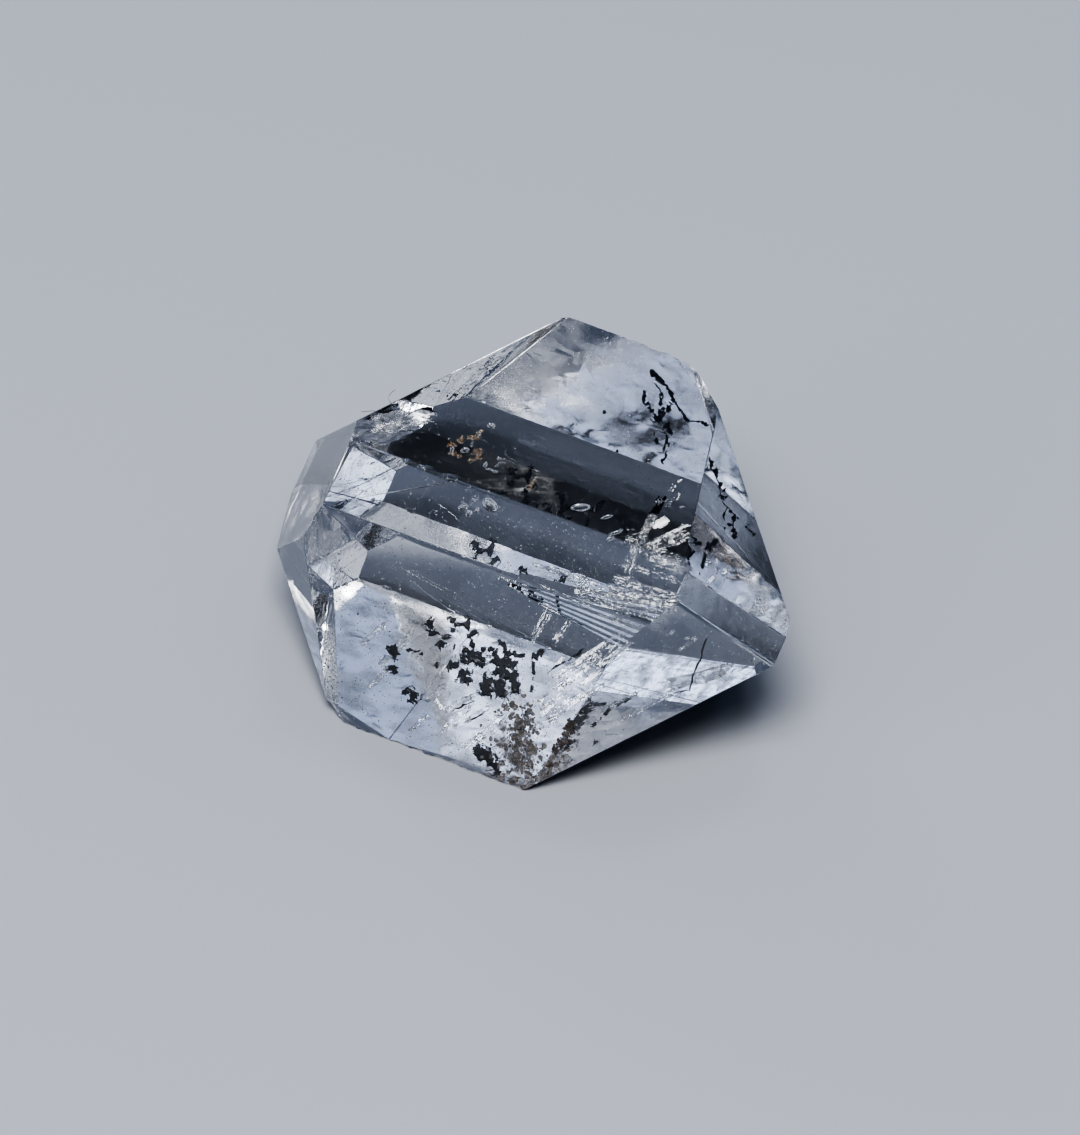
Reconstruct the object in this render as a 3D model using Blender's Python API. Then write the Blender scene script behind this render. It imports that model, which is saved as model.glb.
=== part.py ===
"""Herkimer diamond: one clear, doubly terminated quartz crystal, lying on its largest lower face.

The crystal is modelled the way quartz grows. Six prism faces stand around the c axis, and six
rhombohedral faces close it at each end, so its whole form follows from the axial ratio of quartz
and from how far each face lies from the crystal's centre. Chamfers, growth ledges and chips are
then cut from that form, and the finished crystal is turned onto its resting face.
"""
import math
import random

import bmesh
import bpy
from mathutils import Matrix, Vector

MM = 0.001

# Quartz: c / a of the hexagonal cell, which sets the slope of the rhombohedral faces.
AXIAL_RATIO = 1.1001

# Distance of each face from the centre in mm, for the six faces 60 degrees apart around c.
PRISM_MM = (5.85, 9.26, 8.20, 5.85, 9.02, 8.44)
UPPER_MM = (4.67, 7.18, 6.83, 5.90, 7.78, 7.24)
LOWER_MM = (6.11, 8.11, 7.25, 4.67, 7.89, 8.87)

# It lies on lower_3, which is opposite this face and parallel to it.
TOP_FACE = "upper_0"

BLANK_SIDE = 40 * MM
CHAMFER_DEPTH = 0.008 * MM

# Below these, three faces share a direction, and a point lies on a face.
PARALLEL = 1e-6
ON_FACE = 1e-6 * MM

# Growth ledges: the edge of prism_0 and lower_0 is stepped over its right part. Widths are
# measured from that edge, up the prism face and down the lower face, to the outermost ledge.
LEDGE_STARTS_MM = (4.3, 3.2, 3.5, 2.2, 1.5, 1.3, 1.8, 2.1, 2.5)
LEDGE_END_MM = 6.5
LEDGE_PRISM_WIDTHS_MM = (0.30, 1.05)
LEDGE_LOWER_WIDTHS_MM = (0.72, 1.30)
LEDGE_CUTTER_SIDE = 16 * MM

# Conchoidal chips: two faces of an edge, share of the way along it, scoop radius and depth in mm.
BIG_CHIPS = (
    (("upper_0", "upper_2"), 0.04, 1.60, 0.16),
    (("upper_0", "upper_2"), 0.34, 1.10, 0.11),
    (("upper_0", "upper_2"), 0.66, 1.40, 0.15),
    (("upper_0", "upper_2"), 0.97, 1.20, 0.17),
    (("upper_0", "upper_3"), 0.93, 1.70, 0.12),
    (("upper_0", "upper_3"), 0.71, 1.30, 0.08),
    (("upper_0", "prism_5"), 0.10, 0.70, 0.14),
    (("upper_0", "prism_5"), 0.55, 0.50, 0.10),
    (("upper_0", "prism_5"), 0.92, 0.80, 0.17),
    (("prism_0", "upper_0"), 0.17, 0.45, 0.06),
    (("prism_0", "upper_0"), 0.23, 0.55, 0.07),
    (("prism_0", "upper_0"), 0.30, 0.50, 0.09),
    (("lower_0", "lower_4"), 0.30, 0.80, 0.17),
    (("lower_0", "lower_4"), 0.85, 0.90, 0.15),
    (("lower_0", "lower_1"), 0.03, 0.55, 0.10),
    (("prism_1", "lower_2"), 0.50, 0.60, 0.06),
)

# Edges bruised all along: two faces, number of chips, smallest and largest depth in mm.
BRUISED_EDGES = (
    (("lower_0", "lower_3"), 18, 0.035, 0.115),
    (("upper_0", "upper_3"), 7, 0.015, 0.040),
    (("upper_2", "upper_3"), 4, 0.020, 0.060),
    (("lower_3", "prism_3"), 6, 0.020, 0.070),
    (("lower_3", "lower_2"), 4, 0.020, 0.060),
    (("lower_3", "prism_4"), 3, 0.020, 0.050),
)
BRUISE_RADIUS_MM = (0.35, 0.85)
CHIP_FACETS = 4
BRUISE_FACETS = 3
SEED = 11

# Clear quartz.
QUARTZ_TINT = (0.97, 0.98, 1.0, 1.0)
QUARTZ_IOR = 1.544


def clear_scene():
    for thing in list(bpy.data.objects):
        bpy.data.objects.remove(thing, do_unlink=True)
    for group in list(bpy.data.collections):
        bpy.data.collections.remove(group)


def new_collection(name):
    group = bpy.data.collections.new(name)
    bpy.context.scene.collection.children.link(group)
    return group


def face_planes():
    """Each face's outward normal and distance, in crystal axes: c along Z, prism_0 facing +X."""
    slope = math.atan(AXIAL_RATIO * 2 / math.sqrt(3))
    planes = {}
    for k in range(6):
        turn = math.radians(60 * k)
        around = Vector((math.cos(turn), math.sin(turn), 0))
        side = around * math.sin(slope)
        rise = Vector((0, 0, math.cos(slope)))
        planes[f"prism_{k}"] = (around, PRISM_MM[k] * MM)
        planes[f"upper_{k}"] = (side + rise, UPPER_MM[k] * MM)
        planes[f"lower_{k}"] = (side - rise, LOWER_MM[k] * MM)
    return planes


def resting_turn(planes):
    """The rotation that lays the resting face down, with the long edges along X."""
    up = planes[TOP_FACE][0]
    along = Vector((0, 0, 1)).cross(planes["prism_0"][0])
    across = up.cross(along)
    return Matrix((along, across, up)).to_4x4()


def cut(bm, point, normal):
    """Slices away what lies beyond the plane and closes the crystal again with one flat face."""
    everything = bm.verts[:] + bm.edges[:] + bm.faces[:]
    result = bmesh.ops.bisect_plane(
        bm, geom=everything, dist=1e-8, plane_co=point, plane_no=normal, clear_outer=True
    )
    rim = [e for e in result["geom_cut"] if isinstance(e, bmesh.types.BMEdge)]
    if rim:
        bmesh.ops.contextual_create(bm, geom=rim)


def grow_crystal(planes):
    """The sharp polyhedron, with every edge then given a hairline chamfer."""
    bm = bmesh.new()
    bmesh.ops.create_cube(bm, size=BLANK_SIDE)
    for normal, distance in planes.values():
        cut(bm, normal * distance, normal)
    bm.normal_update()
    chamfers = []
    for edge in bm.edges:
        outward = sum((f.normal for f in edge.link_faces), Vector()).normalized()
        chamfers.append((edge.verts[0].co - outward * CHAMFER_DEPTH, outward))
    for point, outward in chamfers:
        cut(bm, point, outward)
    bmesh.ops.remove_doubles(bm, verts=bm.verts[:], dist=1e-7)
    return bm


def edge_ends(planes, pair):
    """Both ends of the crystal edge that two faces share, the leftmost or lowest first."""
    ends = []
    for third in planes:
        names = (*pair, third)
        rows = Matrix([planes[name][0] for name in names])
        if abs(rows.determinant()) < PARALLEL:
            continue
        point = rows.inverted() @ Vector([planes[name][1] for name in names])
        if all(normal.dot(point) <= distance + ON_FACE for normal, distance in planes.values()):
            ends.append(point)
    ends.sort(key=lambda point: (round(point.y, 6), round(point.z, 6)))
    return ends[0], ends[-1]


def add_cutter(bm, name, cutters):
    """Keeps a shape as a hidden cutter."""
    mesh = bpy.data.meshes.new(name)
    bm.to_mesh(mesh)
    bm.free()
    cutter = bpy.data.objects.new(name, mesh)
    cutter.hide_render = True
    cutter.display_type = "WIRE"
    cutters.objects.link(cutter)


def facing(normal, like):
    """The normal, turned to the side that another one points to."""
    return normal if normal.dot(like) > 0 else -normal


def add_ledges(planes, cutters):
    """Open V notches along the prism_0 / lower_0 edge, broken off at their left ends.

    Each notch has one wall along the prism face and one along the lower face, so together they
    leave the staircase of two alternating faces that quartz grows there.
    """
    prism, lower = planes["prism_0"][0], planes["lower_0"][0]
    left, right = edge_ends(planes, ("prism_0", "lower_0"))
    along = (right - left).normalized()
    up_prism = prism.cross(along)
    down_lower = along.cross(lower)
    edge_middle = left - along * left.dot(along)
    count = len(LEDGE_STARTS_MM)

    def inner_corner(step, x_mm, end):
        """Where the two walls of a notch meet, at its left end (0) or its right end (1)."""
        on_prism = LEDGE_PRISM_WIDTHS_MM[end] * (1 - step / count)
        on_lower = LEDGE_LOWER_WIDTHS_MM[end] * (step + 1) / count
        return edge_middle + (along * x_mm + up_prism * on_prism + down_lower * on_lower) * MM

    for step, start_mm in enumerate(LEDGE_STARTS_MM):
        start = inner_corner(step, start_mm, 0)
        end = inner_corner(step, LEDGE_END_MM, 1)
        inner_line = (end - start).normalized()
        bm = bmesh.new()
        bmesh.ops.create_cube(bm, size=LEDGE_CUTTER_SIDE)
        bmesh.ops.translate(bm, verts=bm.verts[:], vec=end)
        cut(bm, end, -facing(up_prism.cross(inner_line), prism))
        cut(bm, end, -facing(down_lower.cross(inner_line), lower))
        broken_end = along + down_lower * (0.9 if step % 2 else 0.3)
        cut(bm, start, -broken_end.normalized())
        add_cutter(bm, f"ledge_{step}", cutters)


def add_chip(planes, cutters, name, pair, share, radius_mm, depth_mm, roll, facets):
    """A shallow scoop out of an edge, as a blow leaves in quartz."""
    first, last = edge_ends(planes, pair)
    outward = (planes[pair[0]][0] + planes[pair[1]][0]).normalized()
    centre = first.lerp(last, share) + outward * (radius_mm - depth_mm) * MM
    bm = bmesh.new()
    bmesh.ops.create_icosphere(bm, subdivisions=facets, radius=radius_mm * MM)
    bmesh.ops.rotate(bm, verts=bm.verts[:], matrix=Matrix.Rotation(roll, 3, outward))
    bmesh.ops.translate(bm, verts=bm.verts[:], vec=centre)
    add_cutter(bm, name, cutters)


def add_chips(planes, cutters):
    """The placed chips, and a run of small ones along each bruised edge."""
    chance = random.Random(SEED)
    for number, (pair, share, radius_mm, depth_mm) in enumerate(BIG_CHIPS):
        roll = chance.uniform(0, math.pi)
        name = f"chip_{number}"
        add_chip(planes, cutters, name, pair, share, radius_mm, depth_mm, roll, CHIP_FACETS)
    for pair, count, shallow, deep in BRUISED_EDGES:
        for number in range(count):
            share = (number + chance.uniform(0.15, 0.85)) / count
            name = f"bruise_{pair[0]}_{pair[1]}_{number}"
            radius_mm = chance.uniform(*BRUISE_RADIUS_MM)
            depth_mm = chance.uniform(shallow, deep)
            roll = chance.uniform(0, math.pi)
            add_chip(planes, cutters, name, pair, share, radius_mm, depth_mm, roll, BRUISE_FACETS)


def clear_quartz():
    """Colourless, glass-clear quartz."""
    material = bpy.data.materials.new("clear_quartz")
    material.use_nodes = True
    shader = material.node_tree.nodes["Principled BSDF"]
    shader.inputs["Base Color"].default_value = QUARTZ_TINT
    shader.inputs["Metallic"].default_value = 0.0
    shader.inputs["Roughness"].default_value = 0.02
    shader.inputs["IOR"].default_value = QUARTZ_IOR
    shader.inputs["Transmission Weight"].default_value = 1.0
    return material


def chipped(crystal, cutters):
    """The crystal's mesh with every cutter taken out of it."""
    chips = crystal.modifiers.new("ledges_and_chips", "BOOLEAN")
    chips.operation = "DIFFERENCE"
    chips.solver = "EXACT"
    chips.operand_type = "COLLECTION"
    chips.collection = cutters
    bpy.context.view_layer.update()
    view = crystal.evaluated_get(bpy.context.evaluated_depsgraph_get())
    mesh = bpy.data.meshes.new_from_object(view)
    crystal.modifiers.clear()
    return mesh


def lay_down(mesh, turn):
    """Turns the crystal onto its resting face, centred over the origin."""
    mesh.transform(turn)
    low = Vector([min(v.co[i] for v in mesh.vertices) for i in range(3)])
    high = Vector([max(v.co[i] for v in mesh.vertices) for i in range(3)])
    mesh.transform(Matrix.Translation((-(low.x + high.x) / 2, -(low.y + high.y) / 2, -low.z)))


clear_scene()
parts = new_collection("herkimer_diamond")
cutters = new_collection("cutters")
planes = face_planes()

sharp_mesh = bpy.data.meshes.new("sharp_crystal")
sharp = grow_crystal(planes)
sharp.to_mesh(sharp_mesh)
sharp.free()
crystal = bpy.data.objects.new("crystal", sharp_mesh)
parts.objects.link(crystal)

add_ledges(planes, cutters)
add_chips(planes, cutters)
crystal.data = chipped(crystal, cutters)
lay_down(crystal.data, resting_turn(planes))
crystal.data.materials.clear()
crystal.data.materials.append(clear_quartz())
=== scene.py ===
import math
import random

import bpy
from mathutils import Euler, Matrix, Vector, noise
from mathutils.bvhtree import BVHTree


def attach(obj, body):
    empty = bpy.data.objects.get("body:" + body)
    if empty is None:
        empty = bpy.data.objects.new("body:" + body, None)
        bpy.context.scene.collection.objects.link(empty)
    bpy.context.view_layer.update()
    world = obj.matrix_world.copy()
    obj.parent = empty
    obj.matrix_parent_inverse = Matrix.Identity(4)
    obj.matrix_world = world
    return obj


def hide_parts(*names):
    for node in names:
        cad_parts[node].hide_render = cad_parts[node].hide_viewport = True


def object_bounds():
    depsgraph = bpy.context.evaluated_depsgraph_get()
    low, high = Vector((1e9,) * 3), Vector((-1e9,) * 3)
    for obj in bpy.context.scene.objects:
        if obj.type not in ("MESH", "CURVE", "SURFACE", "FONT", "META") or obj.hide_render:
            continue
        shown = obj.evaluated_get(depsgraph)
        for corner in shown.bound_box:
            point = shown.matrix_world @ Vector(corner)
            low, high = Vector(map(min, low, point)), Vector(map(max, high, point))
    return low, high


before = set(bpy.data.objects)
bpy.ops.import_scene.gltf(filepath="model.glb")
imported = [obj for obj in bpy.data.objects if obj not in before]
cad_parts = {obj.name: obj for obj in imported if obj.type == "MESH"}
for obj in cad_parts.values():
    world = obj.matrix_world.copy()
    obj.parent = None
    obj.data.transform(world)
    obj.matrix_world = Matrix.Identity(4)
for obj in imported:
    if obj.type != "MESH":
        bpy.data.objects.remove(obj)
cad_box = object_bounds()
MM = 0.001

# --- Camera -------------------------------------------------------------------------------------
# It stands well back, so that near and far edges are seen at one scale, to the right of the
# crystal and looking down on its top face.
CAMERA_AZIMUTH = math.radians(25.28)
CAMERA_ELEVATION = math.radians(37.41)
CAMERA_ROLL = math.radians(4.3)
CAMERA_DISTANCE = 720 * MM
VIEW_HEIGHT = 40.86 * MM
CRYSTAL_MIDDLE = Vector((-0.55, 0.147, 4.364)) * MM
AIM_RIGHT, AIM_DOWN = 0.25 * MM, 0.56 * MM
SENSOR_WIDTH = 36
NEAREST_SEEN, FARTHEST_SEEN = 10 * MM, 10

camera_turn = (
    Matrix.Rotation(CAMERA_AZIMUTH, 3, "Z")
    @ Matrix.Rotation(math.pi / 2 - CAMERA_ELEVATION, 3, "X")
    @ Matrix.Rotation(CAMERA_ROLL, 3, "Z")
)
to_right, to_top, to_eye = camera_turn.col
aim = CRYSTAL_MIDDLE + to_right * AIM_RIGHT - to_top * AIM_DOWN
bpy.ops.object.camera_add(location=aim + to_eye * CAMERA_DISTANCE, rotation=camera_turn.to_euler())
camera = bpy.context.object
camera.name = "camera"
camera.data.sensor_width = SENSOR_WIDTH
camera.data.lens = SENSOR_WIDTH * CAMERA_DISTANCE / VIEW_HEIGHT
camera.data.clip_start = NEAREST_SEEN
camera.data.clip_end = FARTHEST_SEEN
bpy.context.scene.camera = camera

# --- Floor --------------------------------------------------------------------------------------
# A plain sheet of pale matt board. The crystal lies on it with a hair's breadth of air between,
# as two hard flat surfaces do.
FLOOR_SIDE = 3.0
FLOOR_GAP = 0.02 * MM
FLOOR_COLOUR = (0.70, 0.71, 0.73, 1)
FLOOR_DULLNESS = 0.7

bpy.ops.mesh.primitive_plane_add(size=FLOOR_SIDE, location=(0, 0, -FLOOR_GAP))
floor = bpy.context.object
floor.name = "floor"
board = bpy.data.materials.new("pale_board")
board.use_nodes = True
board_shader = board.node_tree.nodes["Principled BSDF"]
board_shader.inputs["Base Color"].default_value = FLOOR_COLOUR
board_shader.inputs["Roughness"].default_value = FLOOR_DULLNESS
floor.data.materials.append(board)

# --- Light --------------------------------------------------------------------------------------
# A strong softbox in front lights the board and throws the crystal's shadow behind it. Six
# weaker ones stand where the faces throw the eye's rays out of the crystal. Light bounces often
# inside the quartz before it leaves, so many bounces are followed. Caustics stay off.
ROOM_COLOUR = (0.052, 0.067, 0.104, 1)
SOFTBOX_DISTANCE = 0.6
BOUNCES = 24
SOFTBOXES = (
    # name, azimuth and elevation in degrees, width and height in metres, radiance, colour
    ("front", 18, 58, 0.25, 0.25, 12.0, (0.95, 0.96, 1.0)),
    ("front_left_low", -22, 27, 0.26, 0.13, 1.75, (0.72, 0.80, 1.0)),
    ("front_left_high", -32, 50, 0.26, 0.19, 0.70, (0.66, 0.75, 1.0)),
    ("back", -170, 64, 0.14, 0.12, 3.3, (0.80, 0.86, 1.0)),
    ("back_right", 160, 44, 0.16, 0.10, 0.6, (0.58, 0.70, 1.0)),
    ("back_left", -128, 50, 0.16, 0.16, 0.6, (0.62, 0.72, 1.0)),
    ("low_left", -122, 17, 0.20, 0.14, 3.2, (0.66, 0.76, 1.0)),
)

for name, azimuth, elevation, width, height, radiance, colour in SOFTBOXES:
    turn = Matrix.Rotation(math.radians(azimuth), 3, "Z") @ Matrix.Rotation(
        math.radians(90 - elevation), 3, "X"
    )
    bpy.ops.object.light_add(
        type="AREA", location=turn.col[2] * SOFTBOX_DISTANCE, rotation=turn.to_euler()
    )
    softbox = bpy.context.object
    softbox.name = name
    softbox.data.shape = "RECTANGLE"
    softbox.data.size = width
    softbox.data.size_y = height
    softbox.data.energy = radiance * math.pi * width * height
    softbox.data.color = colour

room = bpy.data.worlds.new("room")
room.use_nodes = True
room.node_tree.nodes["Background"].inputs["Color"].default_value = ROOM_COLOUR
scene = bpy.context.scene
scene.world = room
scene.view_settings.look = "AgX - High Contrast"
scene.cycles.caustics_refractive = False
scene.cycles.caustics_reflective = False
scene.cycles.max_bounces = BOUNCES
scene.cycles.glossy_bounces = BOUNCES
scene.cycles.transmission_bounces = BOUNCES

# --- Crystal ------------------------------------------------------------------------------------
# One clear quartz crystal, lying loose on the floor. Its faces are flat as grown, and its prism
# faces carry fine ridges across the c axis. Its underside and big back face are dull and lightly
# etched, and the prism face low at the back is frosted but for its left end.
QUARTZ_IOR = 1.544
MERGE_DISTANCE = 0.001 * MM
FLAT_ANGLE = math.radians(0.1)
SMALL_FACET = 0.25 * MM**2
C_AXIS = Vector((0, 0.786, 0.619))
PRISM_TOLERANCE = 0.01
LEFT_END_NORMAL_X = -0.5
STRIPED_FACET = 4.0 * MM**2
STRIPE_MARGIN = 0.03 * MM
STRIPE_STEP = 0.10 * MM
STRIPE_SPACING = (0.4, 1.6)
STRIPE_DEPTH = 0.0017 * MM
STRIPE_SEED = 3

bpy.ops.object.select_all(action="DESELECT")
crystal = bpy.data.objects.new("quartz_crystal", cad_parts["crystal"].data.copy())
bpy.context.collection.objects.link(crystal)
crystal.data.name = "quartz_crystal"
crystal.select_set(True)
bpy.context.view_layer.objects.active = crystal
bpy.ops.object.mode_set(mode="EDIT")
bpy.ops.mesh.select_all(action="SELECT")
bpy.ops.mesh.remove_doubles(threshold=MERGE_DISTANCE)
bpy.ops.mesh.dissolve_limited(angle_limit=FLAT_ANGLE)
bpy.ops.mesh.select_all(action="SELECT")
bpy.ops.mesh.normals_make_consistent(inside=False)

bpy.ops.mesh.select_all(action="DESELECT")
bpy.ops.object.mode_set(mode="OBJECT")
for facet in crystal.data.polygons:
    facet.use_smooth = facet.area < SMALL_FACET
    on_prism = abs(facet.normal.dot(C_AXIS)) < PRISM_TOLERANCE
    at_left_end = facet.normal.x <= LEFT_END_NORMAL_X
    facet.select = on_prism and not at_left_end and facet.area > STRIPED_FACET
bpy.ops.object.mode_set(mode="EDIT")
bpy.ops.mesh.inset(thickness=STRIPE_MARGIN, use_individual=True, use_even_offset=False)
bpy.ops.mesh.hide(unselected=True)
chance = random.Random(STRIPE_SEED)
heights = [corner.co.dot(C_AXIS) for corner in crystal.data.vertices]
height = min(heights)
while height < max(heights):
    bpy.ops.mesh.select_all(action="SELECT")
    bpy.ops.mesh.bisect(plane_co=C_AXIS * height, plane_no=C_AXIS)
    bpy.ops.transform.shrink_fatten(value=-chance.uniform(0, STRIPE_DEPTH))
    height += STRIPE_STEP * chance.uniform(*STRIPE_SPACING)
bpy.ops.mesh.reveal(select=False)
bpy.ops.object.mode_set(mode="OBJECT")

HILL_DETAIL = 1.5
HILL_DISTORTION = 0.4
PATCH_SHARE = 0.7
PATCH_DETAIL = 5
PATCH_RANGE = (0.45, 0.75)
FADE_LENGTH = 1.5 * MM
UNDERSIDE_NORMAL_Z = -0.9
BIG_BACK_NORMAL_Y = 0.9
FROSTED_NORMAL = Vector((0, 0.619, -0.786))
FROSTED_TOLERANCE = 0.95
ETCHED_SLOT, FROSTED_SLOT = 1, 2


def quartz_finish(name, hill_size, hill_height, least_dull, most_dull, clear_end=None):
    """Clear quartz whose faces roll gently and are dull in patches, but for one clear end."""
    finish = bpy.data.materials.new(name)
    finish.use_nodes = True
    nodes, links = finish.node_tree.nodes, finish.node_tree.links
    shader = nodes["Principled BSDF"]
    shader.inputs["Base Color"].default_value = (1, 1, 1, 1)
    shader.inputs["IOR"].default_value = QUARTZ_IOR
    shader.inputs["Transmission Weight"].default_value = 1
    place = nodes.new("ShaderNodeTexCoord")
    hills = nodes.new("ShaderNodeTexNoise")
    hills.inputs["Scale"].default_value = 1 / hill_size
    hills.inputs["Detail"].default_value = HILL_DETAIL
    hills.inputs["Distortion"].default_value = HILL_DISTORTION
    relief = nodes.new("ShaderNodeBump")
    relief.inputs["Strength"].default_value = 1
    relief.inputs["Distance"].default_value = hill_height
    patches = nodes.new("ShaderNodeTexNoise")
    patches.inputs["Scale"].default_value = PATCH_SHARE / hill_size
    patches.inputs["Detail"].default_value = PATCH_DETAIL
    bloom = nodes.new("ShaderNodeMapRange")
    bloom.inputs["From Min"].default_value = PATCH_RANGE[0]
    bloom.inputs["From Max"].default_value = PATCH_RANGE[1]
    bloom.inputs["To Min"].default_value = least_dull
    bloom.inputs["To Max"].default_value = most_dull
    links.new(place.outputs["Object"], hills.inputs["Vector"])
    links.new(place.outputs["Object"], patches.inputs["Vector"])
    links.new(hills.outputs["Fac"], relief.inputs["Height"])
    links.new(patches.outputs["Fac"], bloom.inputs["Value"])
    if clear_end is None:
        links.new(bloom.outputs["Result"], shader.inputs["Roughness"])
    else:
        sides = nodes.new("ShaderNodeSeparateXYZ")
        growing = nodes.new("ShaderNodeMapRange")
        growing.inputs["From Min"].default_value = clear_end
        growing.inputs["From Max"].default_value = clear_end + FADE_LENGTH
        fading = nodes.new("ShaderNodeMath")
        fading.operation = "MULTIPLY"
        links.new(place.outputs["Object"], sides.inputs["Vector"])
        links.new(sides.outputs["X"], growing.inputs["Value"])
        links.new(growing.outputs["Result"], fading.inputs[0])
        links.new(bloom.outputs["Result"], fading.inputs[1])
        links.new(fading.outputs["Value"], shader.inputs["Roughness"])
    links.new(relief.outputs["Normal"], shader.inputs["Normal"])
    return finish


clear_quartz = quartz_finish(
    "clear_quartz", hill_size=1.2 * MM, hill_height=0.005 * MM, least_dull=0.0, most_dull=0.02
)
etched_quartz = quartz_finish(
    "etched_quartz", hill_size=1.2 * MM, hill_height=0.034 * MM, least_dull=0.09, most_dull=0.32
)
frosted_quartz = quartz_finish(
    "frosted_quartz", hill_size=0.35 * MM, hill_height=0.005 * MM, least_dull=0.10, most_dull=0.30,
    clear_end=-3.8 * MM
)
crystal.data.materials.clear()
for finish in (clear_quartz, etched_quartz, frosted_quartz):
    crystal.data.materials.append(finish)
for facet in crystal.data.polygons:
    if facet.normal.z < UNDERSIDE_NORMAL_Z or facet.normal.y > BIG_BACK_NORMAL_Y:
        facet.material_index = ETCHED_SLOT
    elif facet.normal.dot(FROSTED_NORMAL) > FROSTED_TOLERANCE:
        facet.material_index = FROSTED_SLOT

walls = BVHTree.FromPolygons(
    [corner.co for corner in crystal.data.vertices],
    [facet.vertices for facet in crystal.data.polygons],
)


def bent_inward(outside, normal):
    """The way back inside the quartz to a thing that is seen this way through a face."""
    along = (outside - normal * outside.dot(normal)) / QUARTZ_IOR
    return along + normal * math.sqrt(1 - along.length_squared)


def sight(right, up):
    """Where the eye meets the crystal at this place in mm, the face's normal, the ray inside."""
    ray = CRYSTAL_MIDDLE + to_right * right * MM + to_top * up * MM - camera.location
    surface, normal, *_ = walls.ray_cast(camera.location, ray.normalized())
    return (surface, normal, -bent_inward(to_eye, normal)) if surface else None


def spot(right, up, depth=0.0, level=None):
    """The point seen at this place, this deep inside the quartz or down at this level, in mm."""
    seen = sight(right, up)
    if seen is None:
        return None
    surface, normal, inward = seen
    if level is not None:
        return surface + inward * ((level * MM - surface.z) / inward.z)
    return surface + inward * depth * MM


# --- Carbon film --------------------------------------------------------------------------------
# Black anthraxolite, a dull coal-like film that was trapped on old growth surfaces. It lies in
# ragged flakes on the crystal's underside, behind its front face and under its upper faces.
CARBON_CELL = 0.02
CARBON_THICKNESS = 0.02 * MM
FLAKE_REACH = 2
CARBON_WAVE, CARBON_WAVE_RATE = 0.02, 1.5
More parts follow.
